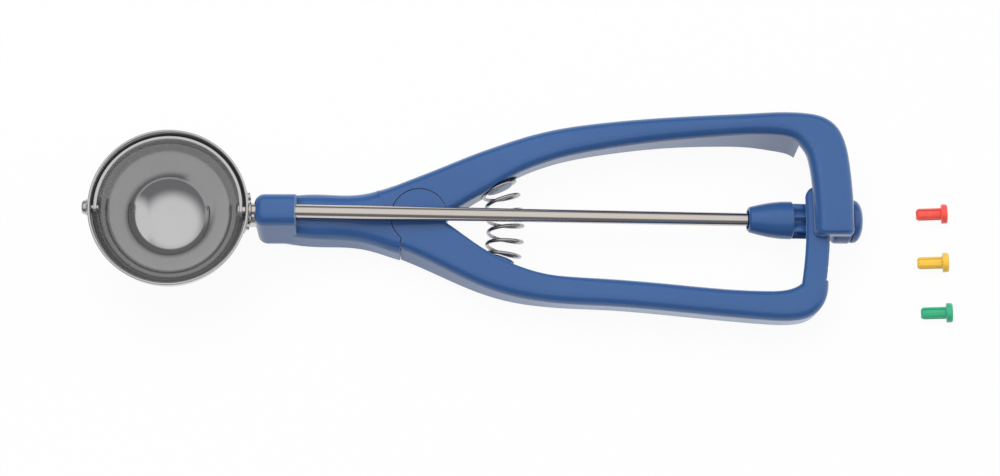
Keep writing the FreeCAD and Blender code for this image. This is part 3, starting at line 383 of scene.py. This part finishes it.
depth = face * (SCRAPER_THICK - 2.0 * EDGE_ROUND) + EDGE_ROUND + EDGE_ROUND * np.sin(corner_angle)
radius = SCRAPER_R - SCRAPER_THICK + depth
tip = across / SCRAPER_R
strip = np.stack([-radius * np.cos(sweep)[:, None] * np.cos(tip),
                  radius * np.sin(sweep)[:, None] * np.cos(tip), radius * np.sin(tip)], axis=-1)
rest = np.array([[1.0, 0.0, 0.0],
                 [0.0, math.cos(SCRAPER_REST), math.sin(SCRAPER_REST)],
                 [0.0, -math.sin(SCRAPER_REST), math.cos(SCRAPER_REST)]])
piece("scraper_strip", on_rod(strip @ rest), polished_steel, "drive", "scraper_blade")


# Rod: 4 mm ground stainless bar, turned down where it passes the bowl and staked to the scraper,
# with a thin thrust washer between its shoulder and the saddle.

ROD_R = 2.0
JOURNAL_R = 1.5
STAKE_R = 2.2
STAKE_THICK = 0.6
ROD_SHOULDER = 24.0
ROD_END = 194.0
ROD_AROUND = 96
stake_face = math.sqrt((SCRAPER_R - SCRAPER_THICK) ** 2 - STAKE_R ** 2)
# Centreless grinding leaves fine rings round the bar, drawn 0.4 mm apart so that they show.
ground_steel = steel("centreless ground stainless bar", "#D2CBC4", 0.13, 0.4, "X", 20.0, 0.000003)
rod_profile = rounded([(stake_face - STAKE_THICK, 0.0), (stake_face - STAKE_THICK, STAKE_R),
                       (stake_face, STAKE_R), (stake_face, JOURNAL_R), (ROD_SHOULDER, JOURNAL_R),
                       (ROD_SHOULDER, ROD_R), (ROD_END, ROD_R), (ROD_END, 0.0)],
                      [0.0, 0.4, 0.1, 0.0, 0.0, 0.25, 0.4, 0.0])
piece("drive_rod_ground", on_rod(turned(rod_profile, ROD_AROUND)), ground_steel, "drive", "drive_rod")
THRUST_R = 3.0
THRUST_START = 23.5
THRUST_THICK = 0.5
thrust_profile = rounded([(THRUST_START, JOURNAL_R), (THRUST_START, THRUST_R),
                          (THRUST_START + THRUST_THICK, THRUST_R), (THRUST_START + THRUST_THICK, JOURNAL_R)],
                         [0.0, 0.12, 0.12, 0.0], closed=True)
piece("rod_washer_stamped", on_rod(turned(thrust_profile, SMALL_AROUND)), satin_steel, "drive", "rod_washer",
      looped=True)


# Fixed handle: one blue moulding with the head, the neck, the upper grip, the rear plate and its
# barrel, from a polished mould, so it is glossy with a faint orange peel.

WEAR_PER_METRE = 120.0
SHEEN_TINT = [0.60, 0.75, 1.0, 1.0]


def plastic(name, colour, other, roughness, bump_height, tone_mm):
    """Moulded plastic from one recipe: a dyed colour that drifts a little towards another, and the
    slight waviness of a moulded skin, about 1 mm from crest to crest. A pale blue sheen lifts the
    sides that are seen at a flat angle."""
    material, tree = new_material(name)
    place = add_node(tree, "ShaderNodeTexCoord")
    drift = add_node(tree, "ShaderNodeTexNoise", {"Scale": 1.0 / (MM * tone_mm), "Detail": 2.0},
                     {"Vector": place.outputs["Object"]})
    tone = add_node(tree, "ShaderNodeMixRGB", {"Color1": linear(colour), "Color2": linear(other)},
                    {"Fac": drift.outputs["Fac"]})
    peel = add_node(tree, "ShaderNodeTexNoise", {"Scale": 1.0 / MM, "Detail": 1.0},
                    {"Vector": place.outputs["Object"]})
    wear = add_node(tree, "ShaderNodeTexNoise", {"Scale": WEAR_PER_METRE, "Detail": 3.0},
                    {"Vector": place.outputs["Object"]})
    rough = add_node(tree, "ShaderNodeMapRange", {"From Min": 0.3, "From Max": 0.7, "To Min": 0.8 * roughness,
                                                  "To Max": 1.2 * roughness}, {"Value": wear.outputs["Fac"]})
    bump = add_node(tree, "ShaderNodeBump", {"Strength": 0.2, "Distance": bump_height},
                    {"Height": peel.outputs["Fac"]})
    surface = add_node(tree, "ShaderNodeBsdfPrincipled",
                       {"IOR": 1.5, "Sheen Weight": 0.6, "Sheen Roughness": 0.4, "Sheen Tint": SHEEN_TINT},
                       {"Base Color": tone.outputs[0], "Roughness": rough.outputs[0],
                        "Normal": bump.outputs[0]})
    add_node(tree, "ShaderNodeOutputMaterial", {}, {"Surface": surface.outputs[0]})
    return material


blue_polyamide = plastic("blue moulded polyamide", "#2B5590", "#35619B", 0.17, 0.000006, 25.0)
finish_node("fixed_handle", blue_polyamide)


# Lever handle: the second moulding of the same blue, with the pivot disc, the lower grip and the
# rear arm that carries the rack. A flush cap covers the head of its steel pivot pin.

finish_node("lever_handle", blue_polyamide)
finish_node("pivot_cap", blue_polyamide)
finish_node("pivot_pin", satin_steel)
# Natural acetal is a milky white with a dull slippery surface.
natural_acetal = plastic("natural acetal", "#DAD8D0", "#E4E2DA", 0.4, 0.000004, 10.0)
finish_node("pivot_washer", natural_acetal)


# Handle spring: a coil of 1.1 mm spring wire on a bent centre line, between the grips and under
# the rod. Its ends sit on pegs in round seats.

# Hard drawn wire is bright grey, with fine marks of the die along it.
drawn_wire = steel("hard drawn spring wire", "#B4B2B2", 0.22, 0.35, "Y", 2.0, 0.000005)
finish_node("pivot_clip", drawn_wire)

WIRE_R = 0.55
COIL_R = 5.15
SPRING_TURNS = 6.5
SPRING_START = math.radians(216.0)
SPRING_BEND = math.radians(20.0)
CLOSED_COILS = 0.1
frame_shift = bowl_centre[:2] / MM
spring_upper = np.array([95.7, 12.0, 6.6]) + np.append(frame_shift, 0.0)
spring_lower = np.array([96.4, -13.6, 6.6]) + np.append(frame_shift, 0.0)
STEPS_PER_TURN = 64
WIRE_SIDES = 16
chord = spring_lower - spring_upper
chord_length = np.linalg.norm(chord)
sideways = np.array([chord[1], -chord[0], 0.0]) / chord_length
bend_r = chord_length / 2.0 / math.sin(SPRING_BEND)
bend_centre = (spring_upper + spring_lower) / 2.0 + sideways * bend_r * math.cos(SPRING_BEND)
turn = np.linspace(0.0, SPRING_TURNS, int(SPRING_TURNS * STEPS_PER_TURN) + 1)
t = turn / SPRING_TURNS
swing = SPRING_BEND * (1.0 - 2.0 * (t - CLOSED_COILS * np.sin(2.0 * math.pi * t) / (2.0 * math.pi)))[:, None]
outward = -sideways * np.cos(swing) - chord / chord_length * np.sin(swing)
angle = (2.0 * math.pi * turn + SPRING_START)[:, None]
upward = np.array([0.0, 0.0, 1.0])
wire_line = bend_centre + outward * (bend_r + COIL_R * np.cos(angle)) + upward * COIL_R * np.sin(angle)
heading = np.gradient(wire_line, axis=0)
heading = heading / np.linalg.norm(heading, axis=1, keepdims=True)
coil_out = outward * np.cos(angle) + upward * np.sin(angle)
coil_side = np.cross(heading, coil_out)
coil_side = coil_side / np.linalg.norm(coil_side, axis=1, keepdims=True)
coil_out = np.cross(coil_side, heading)
round_wire = np.linspace(0.0, 2.0 * math.pi, WIRE_SIDES, endpoint=False)
wire_rings = wire_line[:, None] + WIRE_R * (coil_out[:, None] * np.cos(round_wire)[:, None]
                                            + coil_side[:, None] * np.sin(round_wire)[:, None])
start_cap = np.repeat(wire_line[:1, None], WIRE_SIDES, axis=1)
end_cap = np.repeat(wire_line[-1:, None], WIRE_SIDES, axis=1)
wire_rings = np.concatenate([start_cap, wire_rings, end_cap])
spring_coil = piece("spring_coil", MM * wire_rings, drawn_wire, "handle", "handle_spring")
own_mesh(spring_coil)


# Pinion: a blue moulded sleeve pressed on the rod, with a hollow mouth, a swelling cone and seven
# teeth that the rack turns. Its tail runs in the barrel of the fixed handle.

CONE_START = 170.9
CONE_END = 184.0
CONE_EDGE = 0.3
CONE_OUTLINE = [(0.0, 3.4), (0.5, 3.85), (3.5, 4.6), (6.5, 5.2), (9.5, 5.55)]
CONE_LARGE_R = 5.65
MOUTH_R = 2.9
MOUTH_DEPTH = 1.8
TEETH = 7
TEETH_END = 194.8
MODULE = 1.2
TOOTH_TIP_R = 5.4
TOOTH_ROOT_R = 3.4
PRESSURE = math.radians(20.0)
FLANK_GAP = 0.13
TAIL_R = 4.3
TAIL_END = 200.0
STEPS_PER_TOOTH = 44
AROUND = TEETH * STEPS_PER_TOOTH
TOOTH_ROWS = 24
FLANK_STEPS = 24
FLANK_FOOT_SHARE = 0.03


def tooth_radius(share):
    """Radius of a tooth at a share of half its pitch from its middle: the flank is an involute,
    whose angle falls from the base circle by the roll minus its arc tangent, and below the base
    circle it drops straight to the root."""
    pitch_r = MODULE * TEETH / 2.0
    base_r = pitch_r * math.cos(PRESSURE)
    half_tooth = (math.pi * MODULE / 4.0 - FLANK_GAP / 2.0) / pitch_r + math.tan(PRESSURE) - PRESSURE
    flank_r = np.linspace(TOOTH_TIP_R, base_r, FLANK_STEPS)
    roll = np.sqrt(np.maximum(0.0, (flank_r / base_r) ** 2 - 1.0))
    flank_share = (half_tooth - roll + np.arctan(roll)) * TEETH / math.pi
    shares_down = np.append(flank_share, flank_share[-1] + FLANK_FOOT_SHARE)
    return np.interp(share, shares_down, np.append(flank_r, TOOTH_ROOT_R))


# The sleeve is of the same glossy blue as the handles.
cone = [(CONE_START + distance, r) for distance, r in CONE_OUTLINE]
cone = [(CONE_START + MOUTH_DEPTH, MOUTH_R), (CONE_START, MOUTH_R)] + cone
cone += [(CONE_END - CONE_EDGE, CONE_LARGE_R), (CONE_END, CONE_LARGE_R - CONE_EDGE), (CONE_END, TOOTH_ROOT_R)]
cone_line = rounded(cone, [0.0, 0.15, 0.15, 0.5, 8.0, 8.0, 6.0, 0.2, 0.2, 0.0], steps=8)
tail = rounded([(TEETH_END, TOOTH_ROOT_R), (TEETH_END, TAIL_R), (TAIL_END, TAIL_R), (TAIL_END, ROD_R)],
               [0.0, 0.2, 0.4, 0.0])
teeth_along = np.linspace(CONE_END, TEETH_END, TOOTH_ROWS)
root_line = np.stack([teeth_along, np.full(TOOTH_ROWS, TOOTH_ROOT_R)], axis=-1)
sleeve_profile = np.concatenate([cone_line, root_line, tail])
toothed = np.zeros(len(sleeve_profile))
toothed[len(cone_line):len(cone_line) + TOOTH_ROWS] = 1.0
tooth_phase = np.abs((np.arange(AROUND) / AROUND * TEETH + 0.5) % 1.0 - 0.5) * 2.0
sleeve_rows = turned(sleeve_profile, AROUND)
swell = 1.0 + toothed[:, None] * (tooth_radius(tooth_phase) / TOOTH_ROOT_R - 1.0)
sleeve_rows = sleeve_rows * np.stack([np.ones_like(swell), swell, swell], axis=-1)
bore = turned(np.array([(TAIL_END, ROD_R), (CONE_START + MOUTH_DEPTH, ROD_R)]), AROUND)
sleeve_rows = np.concatenate([sleeve_rows, bore])
piece("pinion_sleeve", on_rod(sleeve_rows), blue_polyamide, "drive", "drive_pinion",
      looped=True)


# Rear cap: a blue dome pressed into the barrel, with a blind socket that holds a marker plug.

BARREL_END = 201.7
CAP_R = 6.4
CAP_EDGE = 0.8
CAP_DOME = 2.4
CAP_SKIRT_R = 5.3
CAP_SKIRT = 1.5
CAP_TUBE_R = 2.6
SOCKET_R = 2.0
SOCKET_DEPTH = 7.6
SOCKET_LAND = 0.5
SOCKET_FLOOR = 0.8
DOME_STEPS = 24
CAP_AROUND = 128
cap_tip = BARREL_END + CAP_EDGE + CAP_DOME
tube_start = cap_tip - SOCKET_DEPTH - SOCKET_FLOOR
skirt_start = BARREL_END - CAP_SKIRT
dome = np.linspace(0.0, math.pi / 2.0, DOME_STEPS)[:, None]
dome_line = np.concatenate([BARREL_END + CAP_EDGE + CAP_DOME * np.sin(dome),
                            SOCKET_R + SOCKET_LAND + (CAP_R - SOCKET_R - SOCKET_LAND) * np.cos(dome)], axis=1)
cap_profile = np.concatenate([
    rounded([(tube_start, 0.0), (tube_start, CAP_TUBE_R), (skirt_start, CAP_TUBE_R),
             (skirt_start, CAP_SKIRT_R), (BARREL_END, CAP_SKIRT_R), (BARREL_END, CAP_R),
             (BARREL_END + CAP_EDGE, CAP_R)], [0.0, 0.2, 0.0, 0.2, 0.0, 0.3, 0.0]),
    dome_line[1:-1],
    rounded([(cap_tip, SOCKET_R + SOCKET_LAND), (cap_tip, SOCKET_R), (cap_tip - SOCKET_DEPTH, SOCKET_R),
             (cap_tip - SOCKET_DEPTH, 0.0)], [0.0, 0.2, 0.2, 0.0])])
piece("rear_cap_dome", on_rod(turned(cap_profile, CAP_AROUND)), blue_polyamide, "handle", "rear_cap")


# Marker plugs: three small plastic plugs that lie beside the scoop, one colour for each portion
# size. Each has a round head and a body of four ribs on a core, and fits the socket of the cap.

PLUG_HEAD_R = 2.9
PLUG_HEAD_THICK = 1.85
PLUG_BODY_R = 1.9
PLUG_CORE_R = 1.5
PLUG_LENGTH = 7.45
PLUG_NOSE = 0.6
PLUG_RIBS = 4
RIB_EDGE_SHARE = 0.30
RIB_FOOT_SHARE = 0.42
RIB_ROWS = 12
RIB_ROWS_START = -4.0
PLUG_AROUND = 160
body_line = rounded([(-PLUG_LENGTH, 0.0), (-PLUG_LENGTH, PLUG_BODY_R - PLUG_NOSE),
                     (-PLUG_LENGTH + PLUG_NOSE, PLUG_BODY_R), (0.0, PLUG_BODY_R)],
                    [0.0, 0.3, 0.8, 0.0])
rib_rows = np.stack([np.linspace(RIB_ROWS_START, 0.0, RIB_ROWS), np.full(RIB_ROWS, PLUG_BODY_R)], axis=-1)
body_line = np.concatenate([body_line[:-1], rib_rows])
head_line = rounded([(0.0, PLUG_BODY_R), (0.0, PLUG_HEAD_R), (PLUG_HEAD_THICK, PLUG_HEAD_R),
                     (PLUG_HEAD_THICK, 0.0)], [0.0, 0.15, 0.6, 0.0])
plug_rows = turned(np.concatenate([body_line, head_line]), PLUG_AROUND)
rib_phase = np.abs((np.arange(PLUG_AROUND) / PLUG_AROUND * PLUG_RIBS) % 1.0 - 0.5) * 2.0
groove = np.clip((rib_phase - RIB_EDGE_SHARE) / (RIB_FOOT_SHARE - RIB_EDGE_SHARE), 0.0, 1.0)
groove = groove * groove * (3.0 - 2.0 * groove)
grooved = np.zeros(len(plug_rows))
grooved[:len(body_line) - 1] = 1.0
shrink = 1.0 - grooved[:, None] * groove * (1.0 - PLUG_CORE_R / PLUG_BODY_R)
plug_rows = plug_rows * np.stack([np.ones_like(shrink), shrink, shrink], axis=-1)
plug_lean = math.atan2(PLUG_HEAD_R - PLUG_BODY_R, PLUG_LENGTH)
lean_turn = np.array([[math.cos(plug_lean), 0.0, math.sin(plug_lean)], [0.0, 1.0, 0.0],
                      [-math.sin(plug_lean), 0.0, math.cos(plug_lean)]])
plug_rows = MM * (plug_rows @ lean_turn)
plug_middle = (plug_rows.reshape(-1, 3).min(axis=0) + plug_rows.reshape(-1, 3).max(axis=0)) / 2.0
# Soft polyethylene is duller than the handles, in a clear bright colour.
plug_colours = {
    "red": ("#FF4F42", "#FF6052"),
    "yellow": ("#FFCA40", "#FFD250"),
    "green": ("#2EB27E", "#3CBC8A"),
}
for colour, (deep, light) in plug_colours.items():
    low, high = (np.array(corner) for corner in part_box("plug_" + colour))
    seated = plug_rows - plug_middle + (low + high) / 2.0
    dyed = plastic(colour + " moulded polyethylene", deep, light, 0.32, 0.000005, 4.0)
    piece("marker_" + colour, seated, dyed, "handle", "plug_" + colour)
